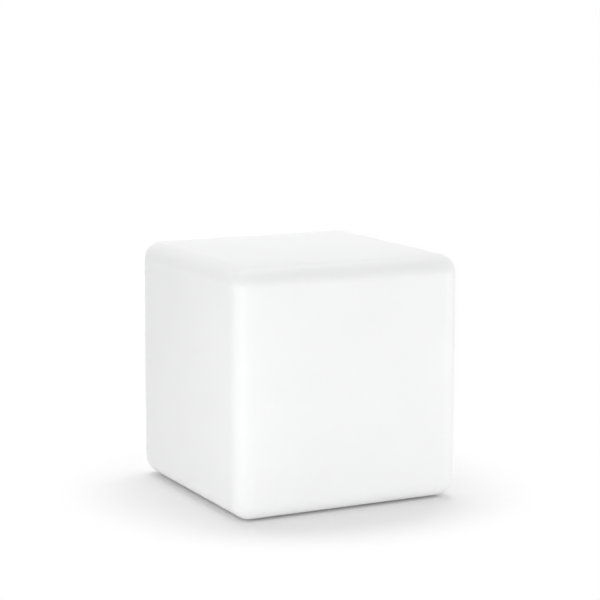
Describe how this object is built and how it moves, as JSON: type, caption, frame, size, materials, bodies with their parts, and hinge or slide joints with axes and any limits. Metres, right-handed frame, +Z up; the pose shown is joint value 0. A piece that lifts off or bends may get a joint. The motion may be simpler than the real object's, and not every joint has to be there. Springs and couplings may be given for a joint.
{
  "type": "outdoor floor lamp",
  "caption": "White rounded cube floor lamp for outdoors: a translucent hollow shell over a sealed round base with a lampholder, bulb and cable gland.",
  "frame": {"origin": "on the floor under the centre of the cube", "axes": "+Z up, the cable leaves towards +Y, the side that faces the viewer is -Y"},
  "size_m": [0.4, 0.4, 0.403],
  "materials": {
    "diffuser": "matte, slightly translucent rotomoulded polyethylene",
    "pan_plastic": "fine moulded grain",
    "gasket_rubber": "soft closed-cell foam rubber",
    "foot_rubber": "matte black rubber",
    "stainless": "satin stainless steel",
    "zinc_steel": "bright zinc-plated sheet steel",
    "nickel": "satin nickel plate",
    "brass": "turned brass",
    "gland_nylon": "black glass-filled nylon",
    "block_plastic": "natural nylon",
    "holder_plastic": "black thermoset",
    "insert_ceramic": "glazed steatite",
    "lead_brown": "brown insulation",
    "lead_blue": "blue insulation",
    "solder": "dull solder",
    "insulator_black": "black vitreous insulator",
    "bulb_plastic": "white satin plastic",
    "opal": "opal diffusing plastic",
    "board_aluminium": "white-coated aluminium board",
    "led_phosphor": "yellow phosphor over the chips"
  },
  "bodies": {
    "base_unit": {"base_pan": "pan_plastic", "base_gasket": "gasket_rubber", "rubber_feet": "foot_rubber", "base_screws": "stainless", "gland_body": "gland_nylon", "gland_washer": "gasket_rubber", "gland_locknut": "nickel", "gland_bush": "foot_rubber", "gland_nut": "gland_nylon", "terminal_block": "block_plastic", "terminal_clamps": "brass", "clamp_screws": "stainless", "block_screw": "stainless", "holder_bracket": "zinc_steel", "bridge_screws": "stainless", "holder_nipple": "zinc_steel", "nipple_nut": "zinc_steel", "holder_cap": "holder_plastic", "holder_insert": "insert_ceramic", "centre_contact": "brass", "side_contact": "brass", "holder_barrel": "holder_plastic", "lead_live": "lead_brown", "lead_neutral": "lead_blue"},
    "shell": {"diffuser_shell": "diffuser", "threaded_inserts": "brass"},
    "bulb_carrier": {"bulb_globe": "opal"},
    "bulb": {"bulb_tip": "solder", "bulb_insulator": "insulator_black", "bulb_cap": "nickel", "bulb_housing": "bulb_plastic", "led_board": "board_aluminium", "led_chips": "led_phosphor"}
  },
  "joints": [
    {"name": "shell_lift", "type": "slide", "parent": "base_unit", "child": "shell", "axis": [0, 0, 1], "range_m": [0, 0.235]},
    {"name": "bulb_rise", "type": "slide", "parent": "base_unit", "child": "bulb_carrier", "axis": [0, 0, 1], "range_m": [0, 0.01452]},
    {"name": "bulb_turn", "type": "hinge", "parent": "bulb_carrier", "child": "bulb", "pos_m": [0, 0, 0.12], "axis": [0, 0, 1], "range_deg": [0, 1440]}
  ],
  "couplings": [
    {"joint": "bulb_rise", "follows": "bulb_turn", "m_per_rad": 0.0005775}
  ]
}
